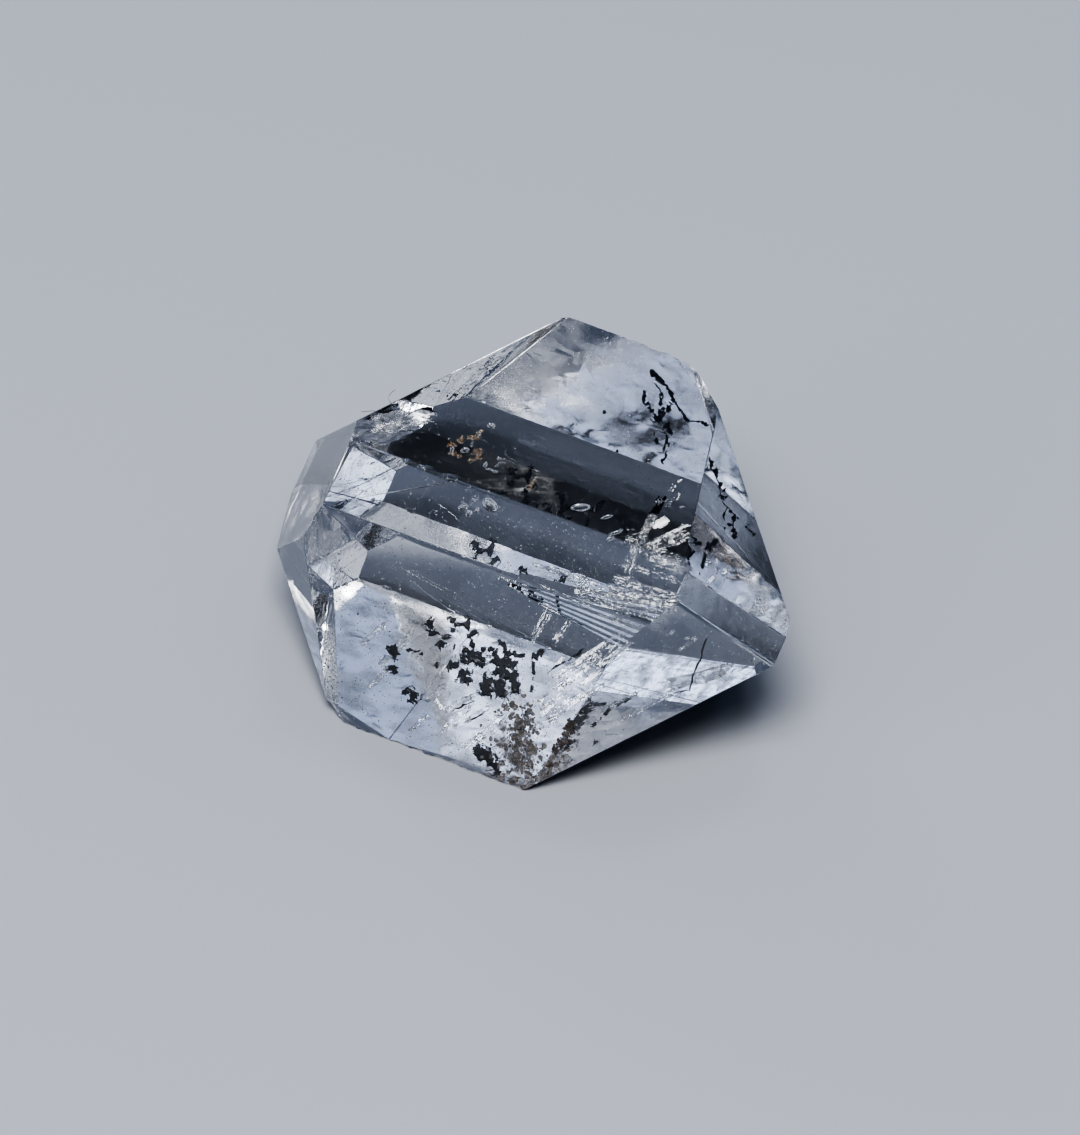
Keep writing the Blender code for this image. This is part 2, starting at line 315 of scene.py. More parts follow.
# Ragged edges: strength and rate per mm of each noise. Then thin branches that link the flakes.
RAGS = ((0.6, 6.0), (0.7, 14.0))
BRANCH_STRENGTH, BRANCH_THINNING, BRANCH_RATE = 0.9, 6, 3.0
BRANCH_SHIFT = Vector((7, 3, 0))
BARENESS = 0.1
CARBON_FILMS = (
    # name, depth under the face or level over the underside, then the flakes in mm: where each
    # one shows to the right and up, its half width and half height
    ("carbon_film_base", None, 0.05, (
        (-2.92, -2.42, 0.11, 0.14), (-2.70, -2.58, 0.16, 0.06), (-2.90, -2.80, 0.10, 0.08),
        (-2.36, -2.55, 0.10, 0.24), (-2.20, -2.92, 0.13, 0.11), (-2.20, -3.32, 0.07, 0.10),
        (-2.85, -3.38, 0.05, 0.07), (-3.12, -3.02, 0.12, 0.05), (-2.96, -4.08, 0.15, 0.11),
        (-2.80, -4.02, 0.12, 0.06), (-2.46, -3.56, 0.20, 0.09), (-2.22, -3.74, 0.30, 0.17),
        (-1.94, -3.90, 0.20, 0.18), (-2.50, -3.90, 0.16, 0.09), (-1.78, -3.54, 0.10, 0.08),
        (-1.52, -3.50, 0.14, 0.07), (-1.36, -3.64, 0.10, 0.12), (-1.16, -3.28, 0.09, 0.08),
        (-1.02, -3.50, 0.10, 0.14), (-0.90, -3.70, 0.13, 0.15), (-0.66, -3.62, 0.09, 0.08),
        (-0.42, -3.72, 0.20, 0.03), (-1.34, -3.86, 0.15, 0.15), (-1.08, -4.00, 0.30, 0.20),
        (-0.86, -3.98, 0.22, 0.18), (-1.18, -4.26, 0.24, 0.18), (-0.98, -4.42, 0.24, 0.13),
        (-0.75, -4.52, 0.11, 0.20), (-1.74, -4.46, 0.06, 0.12), (-1.64, -4.72, 0.22, 0.17),
        (-1.66, -4.96, 0.24, 0.18), (-1.20, -4.86, 0.22, 0.24), (-1.10, -5.10, 0.13, 0.11),
        (-0.66, -4.84, 0.16, 0.20), (-2.52, -4.40, 0.20, 0.19), (-2.38, -4.60, 0.18, 0.14),
        (0.05, -3.75, 0.14, 0.10), (0.28, -3.62, 0.10, 0.08), (0.02, -4.20, 0.05, 0.24),
        (-0.05, -4.88, 0.07, 0.08), (-3.48, -4.06, 0.07, 0.07), (-1.84, -7.22, 0.26, 0.20),
        (-1.50, -7.44, 0.16, 0.14), (-1.36, -7.75, 0.08, 0.18), (-0.42, -6.30, 0.14, 0.11),
        (-0.24, -5.78, 0.08, 0.07), (0.60, -6.02, 0.07, 0.06), (-0.34, -6.08, 0.09, 0.07),
    )),
    ("carbon_film_front", 0.2, None, (
        (-3.72, -2.62, 0.15, 0.20), (-3.60, -2.92, 0.13, 0.15), (-3.33, -3.30, 0.13, 0.14),
        (-5.13, -3.52, 0.17, 0.13), (-5.00, -3.72, 0.14, 0.16), (-5.12, -4.18, 0.20, 0.11),
        (-5.00, -4.30, 0.12, 0.12), (-4.44, -3.52, 0.12, 0.05), (-4.20, -3.58, 0.14, 0.05),
        (-4.02, -3.68, 0.10, 0.05), (-4.52, -5.00, 0.13, 0.10), (-4.28, -5.18, 0.17, 0.18),
    )),
    ("carbon_film_top", 0.12, None, (
        (4.00, 5.64, 0.05, 0.11), (4.00, 5.46, 0.05, 0.10), (4.14, 5.36, 0.09, 0.08),
        (4.20, 5.22, 0.06, 0.09), (4.28, 5.08, 0.09, 0.08), (4.60, 5.45, 0.06, 0.18),
        (4.60, 4.98, 0.14, 0.14), (4.40, 4.86, 0.11, 0.10), (4.48, 4.74, 0.13, 0.10),
        (4.80, 4.54, 0.13, 0.14), (4.92, 5.20, 0.09, 0.12), (4.70, 5.16, 0.09, 0.10),
        (4.92, 4.34, 0.11, 0.08), (4.82, 4.14, 0.07, 0.15), (4.46, 4.02, 0.08, 0.12),
        (4.80, 3.96, 0.07, 0.12), (4.36, 4.22, 0.04, 0.12), (4.72, 3.74, 0.05, 0.14),
        (4.78, 3.50, 0.05, 0.14), (4.66, 3.30, 0.07, 0.08), (3.06, 3.62, 0.05, 0.05),
        (2.56, 5.04, 0.06, 0.05),
    )),
    ("carbon_film_right", 0.1, None, (
        (6.42, 3.18, 0.06, 0.09), (6.59, 2.84, 0.07, 0.09), (6.74, 2.44, 0.06, 0.11),
        (6.86, 1.98, 0.11, 0.10), (6.90, 2.20, 0.06, 0.07), (7.13, 1.47, 0.08, 0.08),
        (7.24, 1.20, 0.08, 0.08), (7.07, 0.99, 0.06, 0.06), (7.24, 0.79, 0.08, 0.09),
        (7.27, 0.58, 0.06, 0.08), (6.90, 0.86, 0.05, 0.05), (7.68, 0.90, 0.09, 0.05),
        (7.96, 0.60, 0.05, 0.06),
    )),
)


def blackness(point, flakes):
    """How firmly this point lies on a flake: over zero is carbon."""
    rag = sum(strength * noise.noise(point * rate) for strength, rate in RAGS)
    ridge = abs(noise.noise(point * BRANCH_RATE + BRANCH_SHIFT))
    branch = max(0, BRANCH_STRENGTH - BRANCH_THINNING * ridge)
    near = max(1 - math.hypot((point.x - f[0]) / f[2], (point.y - f[1]) / f[3]) for f in flakes)
    return near + rag + branch - BARENESS


films = []
for name, depth, level, flakes in CARBON_FILMS:
    left = min(f[0] - FLAKE_REACH * f[2] for f in flakes)
    right = max(f[0] + FLAKE_REACH * f[2] for f in flakes)
    low = min(f[1] - FLAKE_REACH * f[3] for f in flakes)
    high = max(f[1] + FLAKE_REACH * f[3] for f in flakes)
    wide, tall = right - left, high - low
    bpy.ops.object.select_all(action="DESELECT")
    bpy.ops.mesh.primitive_grid_add(
        x_subdivisions=round(wide / CARBON_CELL), y_subdivisions=round(tall / CARBON_CELL), size=1,
        location=((left + right) / 2, (low + high) / 2, 0)
    )
    film = bpy.context.object
    film.name = film.data.name = name
    film.scale = (wide, tall, 1)
    bpy.ops.object.transform_apply(location=True, scale=True)
    bpy.ops.object.mode_set(mode="EDIT")
    bpy.ops.mesh.select_mode(type="FACE")
    bpy.ops.mesh.select_all(action="DESELECT")
    bpy.ops.object.mode_set(mode="OBJECT")
    for facet in film.data.polygons:
        facet.select = blackness(facet.center, flakes) < 0
    bpy.ops.object.mode_set(mode="EDIT")
    bpy.ops.mesh.delete(type="FACE")
    bpy.ops.mesh.select_all(action="SELECT")
    bpy.ops.mesh.vertices_smooth(factor=0.5, repeat=1)
    bpy.ops.object.mode_set(mode="OBJECT")
    for corner in film.data.vertices:
        wave = CARBON_WAVE * noise.noise(corner.co * CARBON_WAVE_RATE)
        if level is None:
            corner.co = spot(corner.co.x, corner.co.y, depth=depth + wave)
        else:
            corner.co = spot(corner.co.x, corner.co.y, level=level + wave)
    thick = film.modifiers.new("thickness", "SOLIDIFY")
    thick.thickness = CARBON_THICKNESS
    bpy.ops.object.modifier_apply(modifier=thick.name)
    films.append(film)

COAL_GRAIN, COAL_DETAIL = 9000, 4
COAL_DARK, COAL_PALE = (0.004, 0.005, 0.009, 1), (0.035, 0.042, 0.060, 1)
COAL_DULLNESS = (0.35, 0.75)

coal = bpy.data.materials.new("coal")
coal.use_nodes = True
nodes, links = coal.node_tree.nodes, coal.node_tree.links
coal_shader = nodes["Principled BSDF"]
place = nodes.new("ShaderNodeTexCoord")
grain = nodes.new("ShaderNodeTexNoise")
grain.inputs["Scale"].default_value = COAL_GRAIN
grain.inputs["Detail"].default_value = COAL_DETAIL
tone = nodes.new("ShaderNodeValToRGB")
tone.color_ramp.elements[0].color = COAL_DARK
tone.color_ramp.elements[1].color = COAL_PALE
dull = nodes.new("ShaderNodeMapRange")
dull.inputs["To Min"].default_value = COAL_DULLNESS[0]
dull.inputs["To Max"].default_value = COAL_DULLNESS[1]
links.new(place.outputs["Object"], grain.inputs["Vector"])
links.new(grain.outputs["Fac"], tone.inputs["Fac"])
links.new(grain.outputs["Fac"], dull.inputs["Value"])
links.new(tone.outputs["Color"], coal_shader.inputs["Base Color"])
links.new(dull.outputs["Result"], coal_shader.inputs["Roughness"])
for film in films:
    film.data.materials.append(coal)
    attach(film, "root")

# --- Carbon seams -------------------------------------------------------------------------------
# Cracks that the same carbon has filled: a thick one under the top face, hair-thin ones where the
# top meets the faces on the right, a long one at the lower right, and short streaks in front.
SEAM_SIDES = 6
SEAM_STEPS = 4
SEAM_JITTER = 0.03
SEAM_SWELL = (0.6, 1.5)
SEAM_SEED = 40
SEAMS = (
    # depth, then points right and up with the width there, in mm as seen from the camera
    (0.25, ((4.24, 6.54, 0.16), (4.42, 6.34, 0.24), (4.60, 6.16, 0.18), (4.80, 5.95, 0.12),
            (4.96, 5.74, 0.14), (5.03, 5.52, 0.14), (5.13, 5.33, 0.11), (5.28, 5.14, 0.11),
            (5.42, 4.95, 0.12), (5.53, 4.76, 0.13), (5.76, 4.69, 0.13), (6.02, 4.70, 0.13),
            (6.18, 4.60, 0.13), (6.36, 4.52, 0.12))),
    (0.14, ((4.34, 6.10, 0.03), (4.56, 5.84, 0.07), (4.66, 5.60, 0.04), (4.60, 5.30, 0.03))),
    (0.13, ((6.34, 3.46, 0.06), (6.44, 2.99, 0.12), (6.59, 2.74, 0.06), (6.70, 2.34, 0.09),
            (6.81, 1.84, 0.05), (7.24, 1.33, 0.11), (7.20, 0.83, 0.05), (7.24, 0.54, 0.08))),
    (0.13, ((6.48, 2.90, 0.10), (6.62, 3.02, 0.05), (6.72, 2.96, 0.04))),
    (0.13, ((7.00, 1.60, 0.05), (6.86, 1.30, 0.09), (6.92, 1.05, 0.04))),
    (0.13, ((7.69, 0.91, 0.06), (7.86, 0.73, 0.09), (8.01, 0.59, 0.05))),
    (0.30, ((1.22, -3.92, 0.03), (1.62, -3.66, 0.09), (1.96, -3.42, 0.03))),
    (0.30, ((0.52, -4.36, 0.02), (0.86, -4.10, 0.07), (1.30, -3.86, 0.02))),
    (0.30, ((-2.90, -5.72, 0.03), (-2.50, -5.50, 0.08), (-1.95, -5.34, 0.03))),
    (0.30, ((-2.50, -6.16, 0.03), (-2.10, -5.98, 0.07), (-1.70, -5.76, 0.03))),
    (0.25, ((6.25, -3.10, 0.05), (6.05, -3.75, 0.07), (5.78, -4.35, 0.05), (5.65, -4.97, 0.06),
            (5.20, -5.05, 0.07), (4.72, -5.22, 0.04))),
)

for number, (depth, points) in enumerate(SEAMS):
    chance = random.Random(SEAM_SEED + number)
    path, widths = [], []
    for start, end in zip(points, points[1:]):
        for step in range(SEAM_STEPS):
            x, y, width = (a + (b - a) * step / SEAM_STEPS for a, b in zip(start, end))
            shift = SEAM_JITTER * Vector((chance.uniform(-1, 1), chance.uniform(-1, 1)))
            path.append(spot(x + shift.x, y + shift.y, depth=depth))
            widths.append(width * chance.uniform(*SEAM_SWELL))
    bpy.ops.object.select_all(action="DESELECT")
    heading = (path[-1] - path[0]).to_track_quat("Z", "Y").to_euler()
    bpy.ops.mesh.primitive_circle_add(
        vertices=SEAM_SIDES, radius=widths[0] / 2 * MM, fill_type="NGON",
        location=path[0], rotation=heading
    )
    seam = bpy.context.object
    seam.name = seam.data.name = f"carbon_seam_{number + 1}"
    bpy.ops.object.transform_apply()
    bpy.ops.object.mode_set(mode="EDIT")
    bpy.ops.mesh.select_all(action="SELECT")
    for step in range(1, len(path)):
        stride = path[step] - path[step - 1]
        growth = widths[step] / widths[step - 1]
        bpy.ops.mesh.extrude_region_move(TRANSFORM_OT_translate={"value": stride})
        bpy.ops.transform.resize(value=(growth,) * 3, center_override=path[step])
    bpy.ops.mesh.select_all(action="SELECT")
    bpy.ops.mesh.normals_make_consistent(inside=False)
    bpy.ops.object.mode_set(mode="OBJECT")
    seam.data.materials.append(coal)
    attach(seam, "root")

# --- Clay stain ---------------------------------------------------------------------------------
# Crumbs of clay, washed into hollows: rusty ones at the front corner, brown ones just round its
# edge, and a golden ring under the top face. They are half clear, as thin clay is, and have a
# glint of iron oxide.
CRUMB_SHAPES = 4
CRUMB_FIRST_SEED = 1
CRUMB_ROUGHNESS = 0.45
CRUMB_COUNT = 420
CRUMB_SIZES = (0.015, 0.12)
CRUMB_FLATNESS = (0.4, 1.0)
CRUMB_FLOOR = 0.05
STAIN_CROWDING, STAIN_PATCH_RATE, STAIN_BARE_BELOW = 0.8, 1.8, -0.12
STAIN_START = Vector((1.2, -2.2, 0.75))
STAIN_END = Vector((2.75, -5.9, 0.42))
STAIN_SPREAD = (0.46, 0.50, 0.30)
SMALL_CRUMB_SIZES = (0.02, 0.07)
SMALL_CRUMB_FLATNESS = (0.3, 1.0)
CLAY_SEED = 17
GOLDEN_COUNT, GOLDEN_DRIFT = 26, 0.7
GOLDEN_CRUMBS = (
    # right, up, depth, radius, in mm as seen from the camera
    (-2.90, 3.86, 0.6, 0.10), (-2.88, 3.54, 0.6, 0.08), (-2.58, 4.02, 0.6, 0.10),
    (-2.22, 4.10, 0.5, 0.07), (-2.08, 4.14, 0.5, 0.08), (-1.96, 4.26, 0.5, 0.06),
    (-1.88, 4.34, 0.5, 0.05), (-2.06, 3.60, 0.6, 0.12), (-1.92, 3.62, 0.6, 0.09),
    (-2.24, 3.32, 0.6, 0.08), (-2.00, 3.40, 0.6, 0.08), (-2.66, 3.46, 0.6, 0.05),
    (-0.14, 2.26, 0.5, 0.03), (-0.10, 2.38, 0.5, 0.03), (-0.03, 2.48, 0.5, 0.03),
    (0.04, 2.58, 0.5, 0.03),
)
RUST_COUNT, RUST_DRIFT = 20, 0.6
RUST_MARGIN = 0.1 * MM
RUST_CRUMBS = (
    (1.36, -6.16, 0.35, 0.10), (1.24, -6.32, 0.35, 0.12), (1.44, -6.50, 0.35, 0.10),
    (1.22, -6.62, 0.35, 0.06), (1.14, -6.84, 0.35, 0.13), (1.00, -6.98, 0.35, 0.13),
    (1.36, -6.86, 0.35, 0.08), (0.62, -7.66, 0.30, 0.12), (0.85, -7.15, 0.35, 0.08),
)

chance = random.Random(CLAY_SEED)
crumbs = []
for number in range(CRUMB_SHAPES):
    bpy.ops.object.select_all(action="DESELECT")
    bpy.ops.mesh.primitive_ico_sphere_add(subdivisions=2, radius=1)
    crumb = bpy.context.object
    bpy.ops.object.mode_set(mode="EDIT")
    bpy.ops.transform.vertex_random(offset=CRUMB_ROUGHNESS, seed=number + CRUMB_FIRST_SEED)
    bpy.ops.object.mode_set(mode="OBJECT")
    bpy.ops.object.shade_smooth()
    crumbs.append(crumb)


def scattered(name, shapes, places, chance):
    """One piece made of many copies of these shapes, each turned at random at its own place."""
    corners, facets = [], []
    for place, size, flatness in places:
        shape = chance.choice(shapes).data
        turn = Euler([chance.uniform(0, 2 * math.pi) for _ in range(3)]).to_matrix()
        first = len(corners)
        squash = Matrix.Diagonal((size, size, size * flatness))
        corners.extend(place + turn @ (squash @ corner.co) for corner in shape.vertices)
        facets.extend([first + c for c in facet.vertices] for facet in shape.polygons)
    piece = bpy.data.objects.new(name, bpy.data.meshes.new(name))
    piece.data.from_pydata(corners, [], facets)
    piece.data.polygons.foreach_set("use_smooth", [True] * len(facets))
    bpy.context.collection.objects.link(piece)
    return piece


places = []
while len(places) < CRUMB_COUNT:
    along = chance.random() ** STAIN_CROWDING
    middle = STAIN_START.lerp(STAIN_END, along)
    place = middle + Vector([chance.gauss(0, spread) for spread in STAIN_SPREAD])
    size = CRUMB_SIZES[0] + (CRUMB_SIZES[1] - CRUMB_SIZES[0]) * chance.random() ** 2
    patch = noise.noise(place * STAIN_PATCH_RATE)
    if place.z > size + CRUMB_FLOOR and patch > STAIN_BARE_BELOW:
        places.append((place * MM, size * MM, chance.uniform(*CRUMB_FLATNESS)))
stain = scattered("clay_stain", crumbs, places, chance)


def crumbs_round(spots, count, spread, margin, chance):
    """This many small crumbs round each spot, but for those nearer to a face than the margin."""
    places = []
    for right, up, depth, radius in spots:
        middle = spot(right, up, depth=depth)
        for _ in range(count):
            place = middle + Vector([chance.gauss(0, radius * spread) for _ in range(3)]) * MM
            nearest, normal, *_ = walls.find_nearest(place)
            if (nearest - place).dot(normal) > margin:
                size = chance.uniform(*SMALL_CRUMB_SIZES) * MM
                places.append((place, size, chance.uniform(*SMALL_CRUMB_FLATNESS)))
    return places


places = crumbs_round(GOLDEN_CRUMBS, GOLDEN_COUNT, GOLDEN_DRIFT, 0, chance)
golden = scattered("golden_stain", crumbs, places, chance)
places = crumbs_round(RUST_CRUMBS, RUST_COUNT, RUST_DRIFT, RUST_MARGIN, chance)
rust = scattered("rust_stain", crumbs, places, chance)
for crumb in crumbs:
    bpy.data.objects.remove(crumb)


CLAY_IOR = 1.5
CLAY_GRAIN = 5000
CLAY_DETAIL = 4
CLAY_TONE_STOPS = (0.35, 0.5, 0.68)
CLAY_DULLNESS = (0.35, 0.8)


def clay_finish(name, dark, middle, pale, glint):
    """Half clear clay of three tones, patchy from crumb to crumb, with a glint of iron oxide."""
    finish = bpy.data.materials.new(name)
    finish.use_nodes = True
    nodes, links = finish.node_tree.nodes, finish.node_tree.links
    shader = nodes["Principled BSDF"]
    shader.inputs["IOR"].default_value = CLAY_IOR
    shader.inputs["Transmission Weight"].default_value = 1
    shader.inputs["Metallic"].default_value = glint
    place = nodes.new("ShaderNodeTexCoord")
    patches = nodes.new("ShaderNodeTexNoise")
    patches.inputs["Scale"].default_value = CLAY_GRAIN
    patches.inputs["Detail"].default_value = CLAY_DETAIL
    tone = nodes.new("ShaderNodeValToRGB")
    tone.color_ramp.elements[0].position = CLAY_TONE_STOPS[0]
    tone.color_ramp.elements[0].color = dark
    tone.color_ramp.elements[1].position = CLAY_TONE_STOPS[2]
    tone.color_ramp.elements[1].color = pale
    tone.color_ramp.elements.new(CLAY_TONE_STOPS[1]).color = middle
    dull = nodes.new("ShaderNodeMapRange")
    dull.inputs["To Min"].default_value = CLAY_DULLNESS[0]
    dull.inputs["To Max"].default_value = CLAY_DULLNESS[1]
    links.new(place.outputs["Object"], patches.inputs["Vector"])
    links.new(patches.outputs["Fac"], tone.inputs["Fac"])
    links.new(patches.outputs["Fac"], dull.inputs["Value"])
    links.new(tone.outputs["Color"], shader.inputs["Base Color"])
    links.new(dull.outputs["Result"], shader.inputs["Roughness"])
    return finish


stain.data.materials.append(clay_finish(
    "rusty_clay", dark=(0.34, 0.24, 0.17, 1), middle=(0.92, 0.82, 0.72, 1),
    pale=(1.0, 0.97, 0.92, 1), glint=0.10
))
golden.data.materials.append(clay_finish(
    "golden_clay", dark=(0.70, 0.42, 0.20, 1), middle=(1.0, 0.84, 0.64, 1),
    pale=(1.0, 0.98, 0.95, 1), glint=0.85
))
rust.data.materials.append(clay_finish(
    "brown_clay", dark=(0.06, 0.04, 0.03, 1), middle=(0.40, 0.22, 0.12, 1),
    pale=(0.72, 0.60, 0.46, 1), glint=0.25
))
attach(stain, "root")
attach(golden, "root")
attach(rust, "root")

# --- Bubbles and gaps ---------------------------------------------------------------------------
# Hollows in the quartz itself: round and drawn-out bubbles, thin gaps along cracks and tiny specks
# of trapped water. They are walls of the crystal's own mesh that face into the hollow.
BUBBLES = (
    # right, up, depth, long radius, short radius, turn in degrees
    (-1.55, 1.69, 0.60, 0.36, 0.24, -40), (-2.52, 1.62, 0.5, 0.20, 0.14, 20),
    (-2.30, 1.40, 0.5, 0.14, 0.12, 0), (-2.16, 1.86, 0.55, 0.10, 0.08, 0),
    (-2.02, 1.50, 0.5, 0.12, 0.09, 60), (1.71, 1.60, 0.9, 0.40, 0.22, 10),
    (2.66, 1.26, 0.8, 0.26, 0.09, 25), (2.95, 0.68, 0.7, 0.30, 0.09, 25),
    (-1.51, 4.54, 0.7, 0.17, 0.15, 0), (-2.45, 3.66, 0.5, 0.19, 0.16, 30),
    (-2.92, 3.68, 0.5, 0.20, 0.09, 80), (-2.02, 4.20, 0.45, 0.24, 0.08, 45),
    (-2.20, 3.88, 0.5, 0.18, 0.05, 80), (-2.22, 3.28, 0.5, 0.14, 0.07, 10),
    (-1.72, 3.14, 0.5, 0.19, 0.09, 80), (-1.58, 2.96, 0.5, 0.15, 0.09, -10),
    (-1.36, 2.88, 0.5, 0.12, 0.09, 20), (-1.30, 3.10, 0.5, 0.10, 0.07, 50),
    (-1.12, 3.20, 0.5, 0.17, 0.08, 0), (-1.22, 3.34, 0.5, 0.11, 0.09, 90),
    (-0.02, 2.45, 0.6, 0.34, 0.03, 65), (0.99, -3.06, 0.8, 0.10, 0.05, 0),
    (5.0, -2.9, 0.5, 0.14, 0.08, 60), (5.55, -3.1, 0.5, 0.10, 0.07, 0),
    (5.36, 1.62, 0.5, 0.12, 0.06, 10), (3.18, 0.80, 0.6, 0.08, 0.06, 0),
    (3.42, 0.80, 0.6, 0.07, 0.05, 0), (3.60, 0.80, 0.6, 0.06, 0.05, 0),
)
BUBBLE_ROUGHNESS = 0.003 * MM
GAP_CELL_LENGTH, GAP_CELL_WIDTH = 0.075, 0.036
GAP_LEAST_CELLS = (8, 3)
GAP_WIDTH = 0.012 * MM
# Ragged rims: strength and rate of each noise. Then how far the rim is pulled in, and from where.
GAP_RAGS = ((1, 4), (0.7, 12))
GAP_RIM, GAP_RIM_RAG, GAP_CORE = 0.44, 0.30, 0.1
GAP_RIPPLE, GAP_RIPPLE_RATES = 0.036, (1.2, 7)
GAP_CHIPS, GAP_CHIP_RATE = 0.016, 6
GAP_TILT = 0.06
GAP_SEED = 23
GAPS = (
    # right, up, depth, length, breadth in mm, angle as seen, ripple share, how dull from 0 to 1
    (4.05, 0.75, 0.45, 3.70, 0.40, 68, 1.0, 1), (4.20, 1.10, 0.60, 3.00, 0.34, 68, 1.2, 0),
    (5.02, 2.30, 0.35, 0.50, 0.22, 70, 0.6, 0), (5.20, 2.00, 0.35, 0.38, 0.18, 60, 0.5, 0),
    (4.86, 1.76, 0.35, 0.50, 0.24, 65, 0.7, 0), (5.30, 2.55, 0.35, 0.26, 0.14, 50, 0.4, 0),
    (3.60, -0.10, 0.40, 1.60, 0.44, 66, 0.8, 0), (4.56, 1.06, 0.35, 0.72, 0.32, 34, 0.0, 0),
    (4.62, 1.00, 0.50, 0.66, 0.34, 34, 0.2, 0), (5.05, 0.72, 0.40, 1.50, 0.20, 31, 0.1, 0),
    (4.80, 0.38, 0.50, 1.90, 0.80, 30, 0.8, 0), (4.75, 0.40, 0.70, 1.60, 0.60, 26, 0.8, 1),
    (3.70, 0.55, 0.50, 0.90, 0.44, 14, 0.8, 0), (4.90, -0.10, 0.45, 1.30, 0.40, -20, 1.0, 0),
    (4.90, -0.45, 0.50, 1.50, 0.50, -16, 0.8, 1), (4.50, -0.80, 0.45, 1.80, 0.34, -18, 1.2, 0),
    (4.00, -1.45, 0.35, 2.60, 0.70, -18, 1.0, 0), (3.90, -1.60, 0.50, 2.60, 0.80, -20, 0.8, 1),
    (4.20, -1.80, 0.30, 1.90, 0.50, -14, 0.8, 0), (3.30, -1.30, 0.40, 1.10, 0.40, 62, 0.8, 0),
    (3.40, -2.00, 0.35, 2.40, 0.34, -22, 1.0, 0), (2.40, -1.30, 0.40, 2.20, 0.46, -18, 1.2, 0),
    (2.60, -1.70, 0.40, 2.20, 0.50, -20, 1.2, 0), (1.40, -0.85, 0.40, 2.00, 0.28, -18, 1.0, 0),
    (0.60, -0.62, 0.40, 1.40, 0.16, -18, 1.0, 1), (1.20, -1.60, 0.40, 2.20, 0.16, -22, 1.0, 0),
    (2.40, -2.12, 0.35, 2.20, 0.16, -22, 1.0, 0), (1.65, -1.48, 0.30, 0.36, 0.22, -20, 0.2, 0),
    (-1.00, -0.98, 0.40, 0.60, 0.12, -12, 0.6, 0), (-0.60, -1.10, 0.40, 0.50, 0.10, -30, 0.6, 0),
    (6.60, -0.50, 0.40, 0.80, 0.20, 75, 0.8, 0), (6.30, -0.40, 0.40, 0.50, 0.20, 40, 0.6, 0),
    (6.90, -0.75, 0.40, 0.50, 0.24, 30, 0.4, 0), (6.40, -1.00, 0.40, 0.60, 0.12, 40, 0.4, 0),
    (0.35, -2.50, 0.45, 1.50, 0.36, 58, 0.7, 0), (1.05, -2.85, 0.45, 1.10, 0.24, 52, 0.8, 0),
    (0.10, -3.00, 0.45, 0.80, 0.20, 60, 0.8, 1), (2.60, -3.60, 0.55, 1.90, 0.60, 38, 1.0, 0),
    (1.60, -4.20, 0.55, 2.20, 0.70, 34, 0.8, 0), (0.80, -5.10, 0.55, 1.60, 0.50, 35, 1.0, 0),
    (2.30, -3.45, 0.40, 0.95, 0.16, 38, 0.15, 0), (2.66, -3.90, 0.40, 1.10, 0.20, 34, 0.15, 0),
    (1.75, -3.85, 0.40, 0.80, 0.18, 42, 0.15, 0), (2.05, -4.55, 0.40, 1.10, 0.22, 34, 0.15, 0),
    (1.20, -4.75, 0.40, 0.85, 0.20, 36, 0.15, 0), (1.75, -5.25, 0.40, 1.00, 0.18, 32, 0.15, 0),
    (0.95, -3.95, 0.40, 0.60, 0.14, 50, 0.15, 0), (0.55, -5.65, 0.40, 0.80, 0.16, 38, 0.15, 0),
    (-2.70, -5.45, 0.40, 1.50, 0.26, 28, 1.0, 1), (-2.00, -5.85, 0.40, 1.30, 0.24, 32, 1.0, 1),
    (-3.50, -5.10, 0.40, 1.20, 0.26, 36, 1.0, 1), (-1.20, -6.30, 0.40, 0.90, 0.20, 34, 1.0, 1),
    (1.10, -5.60, 0.55, 1.70, 0.40, 35, 0.8, 0), (0.40, -6.20, 0.55, 1.10, 0.30, 20, 0.8, 0),
    (2.10, -5.00, 0.45, 1.20, 0.30, 35, 0.8, 0), (-1.55, -6.35, 0.45, 1.80, 0.30, 40, 1.0, 0),
    (-2.75, -6.00, 0.45, 1.70, 0.26, 42, 1.0, 0), (-2.10, -6.80, 0.45, 1.10, 0.36, 36, 0.8, 0),
    (-4.10, -6.15, 0.45, 1.10, 0.20, 40, 1.0, 0), (-5.75, -2.95, 0.70, 1.50, 0.24, 40, 1.0, 1),
    (-5.55, -4.55, 0.70, 1.30, 0.24, 44, 1.0, 1), (-5.00, -3.60, 0.70, 1.60, 0.30, 42, 1.0, 1),
    (-4.40, -2.90, 0.50, 0.60, 0.20, 60, 1.0, 1), (-3.40, -5.50, 0.40, 0.50, 0.20, -60, 0.4, 0),
    (5.60, -3.30, 0.45, 1.00, 0.24, 45, 1.0, 0), (4.40, -5.40, 0.45, 1.50, 0.20, 24, 1.0, 0),
    (3.30, -5.30, 0.45, 1.30, 0.20, 30, 1.0, 0), (3.60, -5.85, 0.45, 1.20, 0.16, 28, 1.0, 0),
    (-4.60, 4.80, 0.30, 2.40, 1.00, 12, 1.0, 1), (-5.10, 4.45, 0.30, 1.50, 0.70, 20, 0.8, 1),
    (6.00, -4.50, 0.40, 2.60, 0.70, 15, 1.0, 1),
)
HOLLOW_MARGIN = 0.03 * MM
WATER_SHAPES = 3
WATER_FIRST_SEED = 11
WATER_COUNT = 480
WATER_SIZES = (0.014, 0.042)
WATER_DEPTHS = (0.08, 1.6)
WATER_RIGHT, WATER_UP = (-8.0, 9.0), (-7.5, 8.5)
WATER_ROUGHNESS = 0.25
WATER_FLATNESS = (0.5, 1)
WATER_PATCH_RATE = 0.8
WATER_BARE_BELOW = (-0.6, 0.3)

